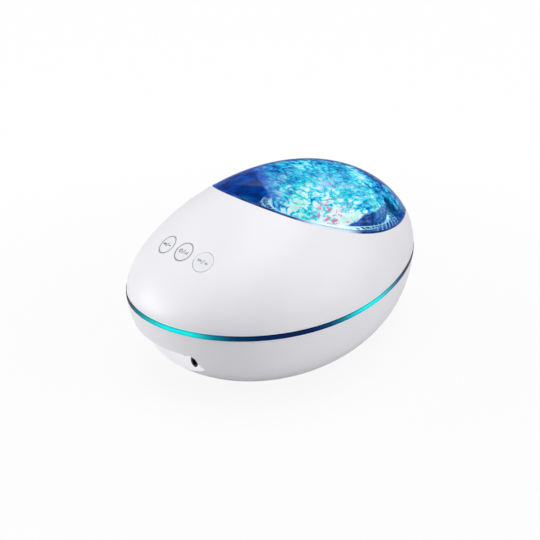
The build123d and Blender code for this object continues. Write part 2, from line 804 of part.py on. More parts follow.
with BuildPart() as speaker_cone:
    turned(speaker_plane, [
        (speaker_cone_radius + 0.2, 0.3),
        (speaker_cone_radius + 0.2, 1.1),
        (speaker_cone_radius - 1, 1.1),
        (cone_neck, cone_neck_z),
        (cone_neck, speaker_top + 1.5),
        (cone_neck - cone_wall, speaker_top + 1.5),
        (cone_neck - cone_wall, cone_neck_z - cone_wall),
        (speaker_cone_radius - 1.4, 0.3),
    ])
    cap_radius, cap_middle, cap_edge = dust_cap
    turned(speaker_plane, [
        (0, cap_middle),
        (cap_radius, cap_edge),
        (cap_radius, cap_edge + cone_wall),
        (0, cap_middle + cone_wall),
    ])

with BuildPart() as speaker_magnet:
    ring(speaker_plane, speaker_top, speaker_top + magnet_height, magnet_radius)
    ring(speaker_plane, speaker_top, speaker_top + magnet_height - 2, voice_radius, mode=Mode.SUBTRACT)
    ring(speaker_plane, speaker_top - 1.5, speaker_top + magnet_height - 2, 3.0)
    chamfer(speaker_magnet.edges().group_by(Axis.Z)[-1], 0.5)

with BuildPart() as speaker_screws:
    for place in speaker_screw_places:
        screw(beside(Plane.XY, *place).offset(floor_z + speaker_rim), small_screw, speaker_rim + 1.4)

nodes = {
    "upper_shell": upper_shell.part,
    "lower_shell": lower_shell.part,
    "trim_ring": trim_ring.part,
    "clear_cover": clear_cover.part,
    "cover_seal": cover_seal.part,
    "lamp_deck": lamp_deck.part,
    "ribbed_bezel": ribbed_bezel.part,
    "wave_dome": wave_dome.part,
    "ring_gear": ring_gear.part,
    "pinion": pinion.part,
    "pinion_shaft": pinion_shaft.part,
    "gear_motor": gear_motor.part,
    "motor_bracket": motor_bracket.part,
    "motor_screws": motor_screws.part,
    "lamp_cup": lamp_cup.part,
    "lamp_screws": lamp_screws.part,
    "reflector": reflector.part,
    "led_board": led_board.part,
    "leds": leds.part,
    "heat_sink": heat_sink.part,
    "deck_screws": deck_screws.part,
    "case_screws": case_screws.part,
    "rubber_feet": rubber_feet.part,
    **button_nodes,
    "switches": switches.part,
    "switch_board": switch_board.part,
    "switch_board_screws": switch_board_screws.part,
    "main_board": main_board.part,
    "board_screws": board_screws.part,
    "audio_socket": audio_socket.part,
    "card_socket": card_socket.part,
    "power_socket": power_socket.part,
    "main_chip": main_chip.part,
    "capacitors": capacitors.part,
    "board_plugs": board_plugs.part,
    "speaker_frame": speaker_frame.part,
    "speaker_cone": speaker_cone.part,
    "speaker_magnet": speaker_magnet.part,
    "speaker_screws": speaker_screws.part,
}
for name, part in nodes.items():
    part.label = name
    export_step(part, f"parts/{name}.step")
print("gears", ring_teeth, pinion_teeth, "distance", gear_distance)
print("button plane", button_plane.origin, degrees(button_slope))
print("case", lower_shell.part.bounding_box(), upper_shell.part.bounding_box())
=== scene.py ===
import json
from math import atan2, cos, hypot, pi, radians, sin

import bmesh
import bpy
from mathutils import Matrix, Vector, noise
from mathutils.bvhtree import BVHTree


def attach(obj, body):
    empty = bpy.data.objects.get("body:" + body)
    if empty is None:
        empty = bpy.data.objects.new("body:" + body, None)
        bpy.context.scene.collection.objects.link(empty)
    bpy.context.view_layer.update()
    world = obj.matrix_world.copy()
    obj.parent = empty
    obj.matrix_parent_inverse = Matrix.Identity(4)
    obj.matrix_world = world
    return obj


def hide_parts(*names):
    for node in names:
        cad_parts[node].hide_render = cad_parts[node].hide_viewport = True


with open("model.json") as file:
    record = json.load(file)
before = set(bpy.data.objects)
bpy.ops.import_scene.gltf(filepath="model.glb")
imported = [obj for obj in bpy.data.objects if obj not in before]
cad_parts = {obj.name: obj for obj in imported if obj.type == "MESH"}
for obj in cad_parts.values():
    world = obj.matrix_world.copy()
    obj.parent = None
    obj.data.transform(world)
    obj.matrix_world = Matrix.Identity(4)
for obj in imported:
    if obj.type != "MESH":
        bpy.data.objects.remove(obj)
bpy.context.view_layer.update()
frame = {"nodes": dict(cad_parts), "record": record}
MM = 0.001
MERGE = 0.001 * MM

# The photograph's viewpoint, and the point of the lamp that it is aimed at
CAMERA_PLACE = Vector((361.745, -319.644, 254.784)) * MM
CAMERA_TARGET = Vector((0, -10.389, 45.256)) * MM
LENS = 71.27
SENSOR = 36.0

# The soft boxes: name, place and side in metres, and power in watts. All face the lamp's middle
SOFT_BOXES = (
    ("top_light", (0.08, -0.10, 1.20), 0.9, 9.8),
    ("low_light", (-0.65, -0.75, 0.12), 0.6, 7.2),
    ("side_light", (0.80, 0.25, 0.55), 0.8, 2.7),
    ("rear_light", (0.75, 0.55, 0.14), 0.4, 1.4),
)
LAMP_MIDDLE = Vector((0, 0, 0.04))
ROOM_COLOUR = (0.93, 0.94, 1.0, 1)
ROOM_STRENGTH = 0.22
FLOOR_SIZE = 6.0
FLOOR_COLOUR = (0.75, 0.75, 0.76, 1)

# The wave dome's own frame: its origin lies on the flange's top face and its axis leans to the rear
DOME_ORIGIN = Vector((0, 28.05, 66)) * MM
DOME_LEAN = radians(10)
DOME_PLACE = Matrix.Translation(DOME_ORIGIN) @ Matrix.Rotation(-DOME_LEAN, 4, "X")

# The nose's frame: the middle button's centre, with Z out of the case
BUTTON_ORIGIN = Vector((0, -61.4, 68.8089)) * MM
BUTTON_SLOPE = radians(37.30618)
BUTTON_PLACE = Matrix.Translation(BUTTON_ORIGIN) @ Matrix.Rotation(BUTTON_SLOPE, 4, "X")
BUTTON_PITCH = 13.4 * MM

# The seam between the shells and half the height of the trim ring in it
SEAM_HEIGHT = 42 * MM
TRIM_HALF = 1.2 * MM

# The case: its middle, in millimetres, and the height from which its inner side shows behind the cover
CASE_MIDDLE = (0, 10, 42)
INSIDE_FROM = 46 * MM

# The socket recess under the nose: its back wall, its ceiling and half its width
RECESS_BACK = -68.5 * MM
RECESS_TOP = 29.2 * MM
RECESS_HALF = 23.15 * MM

# The ribbed ring round the dome: radii of its lip and of its ribs' feet, and how many ribs it has
BEZEL_LIP = 29.7 * MM
BEZEL_REACH = 35.5 * MM
RIB_COUNT = 60.0


# Camera, light and floor

def aim_camera():
    """The photograph's viewpoint, 520 mm from the lamp."""
    lens = bpy.data.cameras.new("viewpoint")
    lens.lens = LENS
    lens.sensor_width = SENSOR
    lens.clip_start = 0.01
    camera = bpy.data.objects.new("viewpoint", lens)
    camera.location = CAMERA_PLACE
    turn_towards(camera, CAMERA_TARGET)
    bpy.context.scene.camera = camera


def turn_towards(holder, target):
    """Turns a camera or a light to face a point, and adds it to the scene."""
    holder.rotation_mode = "QUATERNION"
    holder.rotation_quaternion = (target - holder.location).to_track_quat("-Z", "Y")
    bpy.context.collection.objects.link(holder)


def soft_box(name, place, side, power):
    """A large square light that faces the lamp's middle."""
    light = bpy.data.lights.new(name, "AREA")
    light.shape = "SQUARE"
    light.size = side
    light.energy = power
    holder = bpy.data.objects.new(name, light)
    holder.location = place
    turn_towards(holder, LAMP_MIDDLE)


def light_room():
    """A pale room and four soft boxes. Straight and transmitted rays see plain white behind the lamp."""
    world = bpy.data.worlds.new("pale_room")
    bpy.context.scene.world = world
    world.use_nodes = True
    tree = world.node_tree
    room = tree.nodes["Background"]
    room.inputs["Color"].default_value = ROOM_COLOUR
    room.inputs["Strength"].default_value = ROOM_STRENGTH
    white = tree.nodes.new("ShaderNodeBackground")
    white.inputs["Color"].default_value = (1, 1, 1, 1)
    blend_shaders(tree, seen_directly(tree), room, white, tree.nodes["World Output"])
    for name, place, side, power in SOFT_BOXES:
        soft_box(name, place, side, power)


def seen_directly(tree):
    """1 for camera and transmission rays."""
    path = tree.nodes.new("ShaderNodeLightPath")
    either = tree.nodes.new("ShaderNodeMath")
    either.operation = "MAXIMUM"
    tree.links.new(path.outputs["Is Camera Ray"], either.inputs[0])
    tree.links.new(path.outputs["Is Transmission Ray"], either.inputs[1])
    return either.outputs[0]


def blend_shaders(tree, share, first, second, output):
    """Mixes two shader nodes by a share into an output node."""
    made = tree.nodes.new("ShaderNodeMixShader")
    for source, socket in zip((share, first.outputs[0], second.outputs[0]), made.inputs):
        tree.links.new(source, socket)
    tree.links.new(made.outputs[0], output.inputs[0])


def lay_floor():
    """A wide pale floor that keeps a faint shadow near the lamp and is seen white further off."""
    form = bmesh.new()
    bmesh.ops.create_grid(form, x_segments=2, y_segments=2, size=FLOOR_SIZE)
    floor = finish_piece(form, "floor")
    finish, paper = new_finish("floor_paper", 0.9, base_color=FLOOR_COLOUR, specular_ior_level=0.0)
    tree = finish.node_tree
    white = add_node(finish, "ShaderNodeEmission", {"Color": (1, 1, 1, 1)})
    away = near(finish, own_space(finish), (0, 0, 0), 100, 300, 0.90, 0.99)
    share = times(finish, away, seen_directly(tree))
    blend_shaders(tree, share, paper, white, tree.nodes["Material Output"])
    floor.data.materials.append(finish)


# Small helpers for pieces and finishes

def finish_piece(form, name, smooth=False):
    """Turns a bmesh into an object whose place is in its mesh."""
    mesh = bpy.data.meshes.new(name)
    form.to_mesh(mesh)
    form.free()
    if smooth:
        mesh.shade_smooth()
    piece = bpy.data.objects.new(name, mesh)
    bpy.context.collection.objects.link(piece)
    return piece


def add_node(finish, kind, inputs=None, **settings):
    """A shader node with its settings and socket values."""
    made = finish.node_tree.nodes.new(kind)
    for name, value in settings.items():
        setattr(made, name, value)
    for name, value in (inputs or {}).items():
        made.inputs[name].default_value = value
    return made


def wire(finish, source, target):
    """Links an output to an input."""
    finish.node_tree.links.new(source, target)


def feed(finish, socket, value):
    """Gives a socket another socket, a number or a colour."""
    if isinstance(value, tuple):
        socket.default_value = (*value, 1)
    elif isinstance(value, (int, float)):
        socket.default_value = value
    else:
        wire(finish, value, socket)


def new_finish(name, roughness, **sockets):
    """A material whose shader's plain sockets are set by name."""
    finish = bpy.data.materials.new(name)
    finish.use_nodes = True
    shader = finish.node_tree.nodes["Principled BSDF"]
    shader.inputs["Roughness"].default_value = roughness
    for name, value in sockets.items():
        shader.inputs[name.replace("_", " ").title().replace("Ior", "IOR")].default_value = value
    return finish, shader


def own_space(finish):
    """The piece's own coordinates, which are the lamp's."""
    return add_node(finish, "ShaderNodeTexCoord").outputs["Object"]


def dome_space(finish):
    """The piece's coordinates turned into the dome's frame."""
    back = Matrix.Rotation(DOME_LEAN, 3, "X")
    place = {"Location": -(back @ DOME_ORIGIN), "Rotation": (DOME_LEAN, 0, 0)}
    turn = add_node(finish, "ShaderNodeMapping", place)
    wire(finish, own_space(finish), turn.inputs["Vector"])
    return turn.outputs["Vector"]


def split_axes(finish, vector):
    """The X, Y and Z of a vector."""
    made = add_node(finish, "ShaderNodeSeparateXYZ")
    wire(finish, vector, made.inputs["Vector"])
    return made.outputs["X"], made.outputs["Y"], made.outputs["Z"]


def mottle(finish, size, detail=2.0, stretch=(1, 1, 1), start=None, bend=0.0):
    """Soft noise whose blobs are about size across."""
    turn = add_node(finish, "ShaderNodeMapping", {"Scale": stretch})
    wire(finish, start or own_space(finish), turn.inputs["Vector"])
    cloud = add_node(finish, "ShaderNodeTexNoise", {"Scale": 1 / size, "Detail": detail, "Distortion": bend})
    wire(finish, turn.outputs["Vector"], cloud.inputs["Vector"])
    return cloud.outputs["Fac"]


def ramp(finish, value, stops):
    """A colour ramp from (place, colour) stops. A plain number stands for a grey."""
    made = add_node(finish, "ShaderNodeValToRGB")
    steps = made.color_ramp.elements
    while len(steps) < len(stops):
        steps.new(0.5)
    for step, (place, colour) in zip(steps, stops):
        step.position = place
        step.color = (*colour, 1) if isinstance(colour, tuple) else (colour, colour, colour, 1)
    wire(finish, value, made.inputs["Fac"])
    return made.outputs["Color"]


def rescale(finish, value, low, high, new_low, new_high):
    """Carries a value from one range to another and holds it there."""
    limits = {"From Min": low, "From Max": high, "To Min": new_low, "To Max": new_high}
    made = add_node(finish, "ShaderNodeMapRange", limits)
    wire(finish, value, made.inputs["Value"])
    return made.outputs["Result"]


def spread_noise(finish, cloud, low, high):
    """Noise carried from its usual range to one from low to high."""
    return rescale(finish, cloud, 0.3, 0.7, low, high)


def blend(finish, share, first, second):
    """Mixes two colours, each a socket or plain numbers, by a share."""
    made = add_node(finish, "ShaderNodeMix", data_type="RGBA")
    for place, value in ((0, share), (6, first), (7, second)):
        feed(finish, made.inputs[place], value)
    return made.outputs[2]


def calculate(finish, operation, first, second=0.0):
    """A Math node on sockets or numbers."""
    made = add_node(finish, "ShaderNodeMath", operation=operation)
    feed(finish, made.inputs[0], first)
    feed(finish, made.inputs[1], second)
    return made.outputs[0]


def plus(finish, first, *others):
    """The sum of sockets and numbers."""
    for other in others:
        first = calculate(finish, "ADD", first, other)
    return first


def times(finish, first, *others):
    """The product of sockets and numbers."""
    for other in others:
        first = calculate(finish, "MULTIPLY", first, other)
    return first


def largest(finish, first, *others):
    """The largest of several sockets."""
    for other in others:
        first = calculate(finish, "MAXIMUM", first, other)
    return first


def gap_to(finish, value, place):
    """How far a value lies from a place, on either side."""
    return calculate(finish, "ABSOLUTE", calculate(finish, "SUBTRACT", value, place))


def radius_of(finish, x, y):
    """Distance from the Z axis."""
    return calculate(finish, "SQRT", plus(finish, times(finish, x, x), times(finish, y, y)))


def near(finish, start, spot, inner, outer, there=1.0, beyond=0.0):
    """Runs from one value to another between two distances from a spot. All lengths in millimetres."""
    distance = add_node(finish, "ShaderNodeVectorMath", {1: Vector(spot) * MM}, operation="DISTANCE")
    wire(finish, start, distance.inputs[0])
    return rescale(finish, distance.outputs["Value"], inner * MM, outer * MM, there, beyond)


def tone(finish, shader, colour, spread, size):
    """Base colour that wanders a little round one tone."""
    light = tuple(min(1.0, part * (1 + spread)) for part in colour)
    dark = tuple(part * (1 - spread) for part in colour)
    paint = ramp(finish, mottle(finish, size), [(0.3, dark), (0.7, light)])
    wire(finish, paint, shader.inputs["Base Color"])


def sheen_spread(finish, shader, roughness, spread, size):
    """Roughness that wanders, as handling and moulding leave it."""
    value = spread_noise(finish, mottle(finish, size, 4.0), roughness - spread, roughness + spread)
    wire(finish, value, shader.inputs["Roughness"])


def raise_surface(finish, shader, height, strength, depth):
    """Relief from a height of 0 to 1."""
    raised = add_node(finish, "ShaderNodeBump", {"Strength": strength, "Distance": depth})
    wire(finish, height, raised.inputs["Height"])
    wire(finish, raised.outputs["Normal"], shader.inputs["Normal"])


def grain(finish, shader, size, depth):
    """Raised grain of one size and depth."""
    raise_surface(finish, shader, mottle(finish, size, 3.0), 0.6, depth)


def lit(finish, shader, colour, glow, body):
    """Colour given partly as painted glow from the surface itself and partly as its body."""
    wire(finish, blend(finish, body, (0.0, 0.0, 0.0), colour), shader.inputs["Base Color"])
    wire(finish, colour, shader.inputs["Emission Color"])
    shader.inputs["Emission Strength"].default_value = glow


def moulded(name, colour, roughness, grain_size, grain_depth, spread=0.06):
    """Moulded plastic or rubber: a wandering tone, a wandering sheen and a fine grain."""
    finish, shader = new_finish(name, roughness)
    tone(finish, shader, colour, spread, 12 * MM)
    sheen_spread(finish, shader, roughness, 0.15 * roughness, 5 * MM)
    grain(finish, shader, grain_size, grain_depth)
    return finish


def brushed(name, colour, roughness, stretch):
    """Metal with fine lines drawn along one direction."""
    finish, shader = new_finish(name, roughness, metallic=1.0)
    lines = mottle(finish, 0.25 * MM, 4.0, stretch)
    dark = tuple(part * 0.82 for part in colour)
    wire(finish, ramp(finish, lines, [(0.3, dark), (0.7, colour)]), shader.inputs["Base Color"])
    wire(finish, spread_noise(finish, lines, roughness * 0.8, roughness * 1.25), shader.inputs["Roughness"])
    raise_surface(finish, shader, lines, 0.3, 0.01 * MM)
    return finish


# Finishes of the case

CASE_WHITE = ((0.80, 0.795, 0.82), (0.82, 0.815, 0.84))
CASE_PAINTED_LIGHT = (0.96, 0.96, 0.97)
CASE_INSIDE_SHADE = ((0.001, 0.014, 0.10), (0.004, 0.05, 0.24))

# Colours of the plating's painted reflection and of the painted shade at its edges
TRIM_NIGHT = (0.001, 0.005, 0.018)
TRIM_NAVY = (0.002, 0.017, 0.085)
TRIM_DEEP = (0.002, 0.05, 0.14)
TRIM_TEAL = (0.003, 0.23, 0.33)
TRIM_CYAN = (0.006, 0.86, 0.84)
TRIM_EDGE_SHADE = (0.0, 0.004, 0.012)

# Painted reflection on the plating: its colours by the angle in degrees from the nose, positive towards +X
TRIM_REFLECTION_TURN = (
    (-180, TRIM_NAVY), (-150, TRIM_NIGHT), (-118, TRIM_TEAL), (-95, TRIM_CYAN), (-78, TRIM_TEAL),
    (-60, TRIM_NAVY), (-38, TRIM_DEEP), (-24, TRIM_NIGHT), (-12, (0.003, 0.035, 0.055)),
    (-3, (0.004, 0.28, 0.33)), (9, TRIM_CYAN), (18, TRIM_CYAN), (25, TRIM_TEAL), (31, TRIM_DEEP),
    (40, TRIM_NAVY), (58, TRIM_NAVY), (67, TRIM_DEEP), (74, (0.005, 0.20, 0.28)), (81, (0.006, 0.52, 0.60)),
    (90, TRIM_CYAN), (99, TRIM_CYAN), (109, (0.02, 0.55, 0.68)), (118, (0.014, 0.28, 0.36)),
    (128, (0.007, 0.09, 0.16)), (140, TRIM_NIGHT), (180, TRIM_NAVY),
)


def facing_inwards(finish):
    """1 where the case's surface faces its middle."""
    outwards = add_node(finish, "ShaderNodeVectorMath", {1: Vector(CASE_MIDDLE) * MM}, operation="SUBTRACT")
    wire(finish, own_space(finish), outwards.inputs[0])
    facing = add_node(finish, "ShaderNodeVectorMath", operation="DOT_PRODUCT")
    wire(finish, outwards.outputs["Vector"], facing.inputs[0])
    wire(finish, add_node(finish, "ShaderNodeNewGeometry").outputs["Normal"], facing.inputs[1])
    return calculate(finish, "LESS_THAN", facing.outputs["Value"], 0.0)


def recess_wall(finish, x, y, z):
    """1 on the back wall of the socket recess."""
    on_wall = calculate(finish, "LESS_THAN", gap_to(finish, y, RECESS_BACK), 0.25 * MM)
    under_ceiling = calculate(finish, "LESS_THAN", z, RECESS_TOP)
    between_sides = calculate(finish, "LESS_THAN", gap_to(finish, x, 0.0), RECESS_HALF)
    return times(finish, on_wall, under_ceiling, between_sides)


def white_case():
    """White plastic with a soft polish, a painted highlight by the trim and painted light in the recess, and
    painted navy shade on its inner side behind the cover.
    """
    roughness = 0.40
    finish, shader = new_finish("case_white", roughness, specular_ior_level=0.4)
    white = ramp(finish, mottle(finish, 25 * MM), list(zip((0.3, 0.7), CASE_WHITE)))
    navy_shade = ramp(finish, mottle(finish, 9 * MM), list(zip((0.35, 0.65), CASE_INSIDE_SHADE)))
    x, y, z = split_axes(finish, own_space(finish))
    off_seam = gap_to(finish, z, SEAM_HEIGHT)
    # Painted highlight: a paler line along the trim, and painted light on the recess's back wall
    painted_rim_highlight = rescale(finish, off_seam, TRIM_HALF + 0.35 * MM, TRIM_HALF + 0.6 * MM, 1.0, 0.0)
    white = blend(finish, largest(finish, painted_rim_highlight, recess_wall(finish, x, y, z)), white, CASE_PAINTED_LIGHT)
    # Painted shade: the case's inner side behind the cover is painted navy
    inside_shade = times(finish, facing_inwards(finish), calculate(finish, "GREATER_THAN", z, INSIDE_FROM))
    wire(finish, blend(finish, inside_shade, white, navy_shade), shader.inputs["Base Color"])
    sheen_spread(finish, shader, roughness, 0.04, 9 * MM)
    grain(finish, shader, 0.4 * MM, 0.0006 * MM)
    return finish


def plated_trim():
    """Blue plating with painted reflection that shades between navy and cyan round the lamp, painted shade
    towards the band's edges, and a painted glow.
    """
    finish, shader = new_finish("trim_plated", 0.3, specular_ior_level=0.02)
    x, y, z = split_axes(finish, own_space(finish))
    angle = calculate(finish, "ARCTAN2", x, times(finish, y, -1.0))
    stops = [((degrees_round + 180) / 360, colour) for degrees_round, colour in TRIM_REFLECTION_TURN]
    # Painted reflection: navy to cyan by the angle round the lamp
    paint = ramp(finish, rescale(finish, angle, -pi, pi, 0.0, 1.0), stops)
    # Painted shade towards the band's edges
    edge = rescale(finish, gap_to(finish, z, SEAM_HEIGHT), 0.4 * MM, TRIM_HALF, 0.0, 0.55)
    lit(finish, shader, blend(finish, edge, paint, TRIM_EDGE_SHADE), 0.45, 0.75)
    grain(finish, shader, 0.6 * MM, 0.002 * MM)
    return finish


def button_white():
    """The case's plastic, a shade smoother, with a fine satin on the caps."""
    roughness = 0.36
    finish, shader = new_finish("button_white", roughness)
    tone(finish, shader, (0.79, 0.79, 0.815), 0.01, 6 * MM)
    sheen_spread(finish, shader, roughness, 0.03, 2 * MM)
    grain(finish, shader, 0.5 * MM, 0.002 * MM)
    return finish


def print_ink(name, colour):
    """Grey pad-printed ink with a slightly uneven tone."""
    finish, shader = new_finish(name, 0.5)
    tone(finish, shader, colour, 0.12, 0.4 * MM)
    grain(finish, shader, 0.15 * MM, 0.002 * MM)
    return finish


# Finishes of the optics

# Colours of the optics, most of them used for painted light and shade
NIGHT = (0.0006, 0.014, 0.12)
NAVY = (0.001, 0.040, 0.27)
ROYAL = (0.004, 0.085, 0.46)
BLUE = (0.001, 0.19, 0.56)
AZURE = (0.003, 0.35, 0.74)
TURQUOISE = (0.010, 0.56, 0.84)
SEA = (0.045, 0.74, 0.87)
CYAN = (0.20, 0.88, 0.94)
PALE = (0.54, 0.97, 0.98)
GLARE = (0.93, 1.0, 1.0)
VIOLET = (0.05, 0.10, 0.56)
LAVENDER = (0.22, 0.38, 0.90)
ROSE = (0.80, 0.12, 0.32)
ORCHID = (0.62, 0.30, 0.88)
MINT = (0.02, 0.78, 0.52)
PAINTED_TEAL_LIGHT = (0.004, 0.10, 0.26)
RIB_LIGHT = (0.30, 0.62, 0.95)
SEAL_LIGHT = (0.72, 0.88, 0.97)

# Where painted light gathers and painted pink glints lie, in the dome's frame and in millimetres
COVER_LIGHT = (22, -18, 4)
DOME_LIGHT = (22, -18, 3)
DOME_GLARE = (25, -15, 3)
ROSE_SPOT = (22, -18, 4)
ORCHID_SPOT = (8, -8, 21)
BEZEL_GLARE = (25, -24, 0)
DECK_GLARE = (27, -24, 0)

# Where the cover shows painted highlights of the ring's ribs, and where it is clearest, in the same frame
RIBS_SEEN = (37, 4, 3)
REAR_WINDOW = (33, 13, 4)
FRONT_WINDOW = (38, -12, 9)

# Where painted glare from the dome lights the line under the cover, in the lamp's frame
SEAL_GLARE = (41, -9, 76)

# How much of the cover's painted colour shows, by how far it turns away from straight on
COVER_VEIL = ((0.0, 0.03), (0.38, 0.06), (0.50, 0.36), (0.60, 0.68), (0.74, 0.90), (0.90, 1.0))
# Painted highlight lines across the ring, from its lip to its ribs' feet
BEZEL_HIGHLIGHT_LINES = ((0.0, 0.9), (0.12, 0.9), (0.2, 0.0), (0.62, 0.0), (0.68, 0.7), (0.76, 0.0))
# Colours of painted light on the waves, from dim to bright
WATER_LIGHT_COLOURS = (
    (0.00, NAVY), (0.10, ROYAL), (0.20, BLUE), (0.32, AZURE), (0.45, TURQUOISE), (0.58, SEA), (0.72, CYAN),
    (0.87, PALE), (1.00, GLARE),
)


def swirl(finish, size, start, detail, bend):
    """Noise whose streaks run round the dome: two stretched clouds, blended by the side they lie on."""
    x, y = split_axes(finish, start)[:2]
    x_square = times(finish, x, x)
    side = calculate(finish, "DIVIDE", x_square, plus(finish, x_square, times(finish, y, y)))
    made = add_node(finish, "ShaderNodeMix", data_type="FLOAT")
    wire(finish, side, made.inputs[0])
    wire(finish, mottle(finish, size, detail, (0.4, 1, 1), start, bend), made.inputs[2])
    wire(finish, mottle(finish, size, detail, (1, 0.4, 1), start, bend), made.inputs[3])
    return made.outputs[0]


def strokes(finish, local, size, depth):
    """Winding dark strokes between brighter cells, to be added to a level of light."""
    off_middle = gap_to(finish, swirl(finish, size, local, 2.0, 0.8), 0.5)
    return rescale(finish, off_middle, 0.0, 0.10, -depth, 0.6 * depth)


def water_light(finish, local, level, contrast=1.0):
    """Painted light of water: a level of light, broken by strokes that run round the dome, as a colour."""
    clouds = spread_noise(finish, mottle(finish, 9 * MM, start=local), -0.27, 0.29)
    wide = strokes(finish, local, 4.0 * MM, 0.38 * contrast)
    fine = strokes(finish, local, 2.2 * MM, 0.26 * contrast)
    return ramp(finish, plus(finish, level, clouds, wide, fine), WATER_LIGHT_COLOURS)


def rib_waves(finish, x, y):
    """A wave from -1 to 1 with as many crests round the dome's axis as the ring has ribs."""
    return calculate(finish, "SINE", times(finish, calculate(finish, "ARCTAN2", y, x), RIB_COUNT))


def clear_cover_finish():
    """Clear cover: open face on, with the dome's rippled light painted on it towards its edges, and painted navy
    shade in front.
    """
    roughness = 0.05
    finish, shader = new_finish("cover_clear", roughness, ior=1.45, specular_ior_level=0.04)
    local = dome_space(finish)
    across, along, height = split_axes(finish, local)
    edge = add_node(finish, "ShaderNodeLayerWeight", {"Blend": 0.5}).outputs["Facing"]
    outline_shade = rescale(finish, edge, 0.80, 0.88, 0.0, 1.0)

    # Way from front left to rear right, along which the cover changes from painted navy shade to clear
    x, y = split_axes(finish, own_space(finish))[:2]
    wander = spread_noise(finish, mottle(finish, 6 * MM), -1.5 * MM, 1.5 * MM)
    sweep = plus(finish, times(finish, x, 0.47), times(finish, y, 0.88), wander)

    # Painted highlights of the ring's ribs, low at the right edge
    rib_highlight = rescale(finish, rib_waves(finish, across, along), 0.35, 0.75, 0.0, 1.0)
    low = rescale(finish, height, 4.2 * MM, 5.0 * MM, 1.0, 0.0)
    rib_zone = times(finish, near(finish, local, RIBS_SEEN, 12, 18), low)

    # Colour, all painted light and shade: rippled light of the water, a painted violet band, navy shade in front,
    # the ribs' highlights and a dark shaded outline
    level = near(finish, local, COVER_LIGHT, 18, 48, 0.60, 0.22)
    paint = water_light(finish, local, level, 0.8)
    shade = ramp(finish, mottle(finish, 7 * MM, 3.0), [(0.35, NIGHT), (0.5, NAVY), (0.66, ROYAL)])
    paint = blend(finish, rescale(finish, sweep, -11 * MM, -6 * MM, 0.75, 0.0), paint, VIOLET)
    paint = blend(finish, rescale(finish, sweep, -14.5 * MM, -12.5 * MM, 1.0, 0.0), paint, shade)
    paint = blend(finish, rib_zone, paint, blend(finish, rib_highlight, NAVY, RIB_LIGHT))
    lit(finish, shader, blend(finish, outline_shade, paint, NAVY), 0.8, 0.2)

    # How much of that colour hides what lies behind the cover
    foot = rescale(finish, height, 3 * MM, 8 * MM, 0.3, 1.0)
    rear_window = near(finish, local, REAR_WINDOW, 12, 19, 0.12, 1.0)
    front_window = near(finish, local, FRONT_WINDOW, 8, 14, 0.10, 1.0)
    veil = times(finish, ramp(finish, edge, COVER_VEIL), foot, rear_window, front_window)
    above_foot = rescale(finish, height, 12 * MM, 15 * MM, 0.0, 1.0)
    front = times(finish, rescale(finish, sweep, -7 * MM, -3 * MM, 0.75, 0.0), above_foot)
    rib_veil = times(finish, rib_zone, rescale(finish, rib_highlight, 0.0, 1.0, 0.35, 0.55))
    wire(finish, largest(finish, veil, front, outline_shade, rib_veil), shader.inputs["Alpha"])
    sheen_spread(finish, shader, roughness, 0.02, 6 * MM)
    return finish


def wave_finish():
    """Wave dome painted with light: brightest low in front among painted pink glints, bluer at its sides, painted
    dark shade at its right foot.
    """
    finish, shader = new_finish("dome_waves", 0.12, ior=1.45, specular_ior_level=0.2)
    local = dome_space(finish)
    x, y, height = split_axes(finish, local)

    # Painted rippled light, with a painted highlight on the waves' crests
    crest = add_node(finish, "ShaderNodeAttribute", attribute_name="wave").outputs["Fac"]
    light = near(finish, local, DOME_LIGHT, 8, 50, 0.80, 0.28)
    glare = near(finish, local, DOME_GLARE, 5, 12, 0.25)
    level = plus(finish, light, glare, rescale(finish, crest, 0, 1, -0.12, 0.12))
    paint = water_light(finish, local, level)

    # Green and violet tints of the painted light, then painted pink glints
    tint = mottle(finish, 11 * MM, start=local)
    paint = blend(finish, rescale(finish, tint, 0.54, 0.66, 0.0, 0.38), paint, MINT)
    paint = blend(finish, rescale(finish, tint, 0.34, 0.46, 0.32, 0.0), paint, LAVENDER)
    pink_glint = rescale(finish, swirl(finish, 4.5 * MM, local, 1.0, 2.5), 0.53, 0.58, 0.0, 0.9)
    paint = blend(finish, times(finish, pink_glint, near(finish, local, ROSE_SPOT, 7, 12)), paint, ROSE)
    paint = blend(finish, times(finish, pink_glint, near(finish, local, ORCHID_SPOT, 7, 13, 0.7)), paint, ORCHID)

    # Painted shade: a dark skirt under a slanting, wandering line, with a painted highlight along its rim
    wander = spread_noise(finish, mottle(finish, 5 * MM, 3.0, start=local), -1.2 * MM, 1.2 * MM)
    above_skirt = plus(finish, height, 6.95 * MM, times(finish, x, -0.5), times(finish, y, -0.35), wander)
    shade = ramp(finish, mottle(finish, 4 * MM), [(0.40, NIGHT), (0.50, NAVY), (0.64, VIOLET)])
    paint = blend(finish, rescale(finish, above_skirt, -0.3 * MM, 0.3 * MM, 1.0, 0.0), paint, shade)
    painted_rim_highlight = rescale(finish, gap_to(finish, above_skirt, 0.0), 0.2 * MM, 0.5 * MM, 0.6, 0.0)
    paint = blend(finish, painted_rim_highlight, paint, LAVENDER)

    # Painted highlight line at the foot
    foot = rescale(finish, height, 0.8 * MM, 1.0 * MM, 1.0, 0.0)
    lit(finish, shader, blend(finish, foot, paint, blend(finish, 0.4, PALE, LAVENDER)), 0.85, 0.15)
    return finish


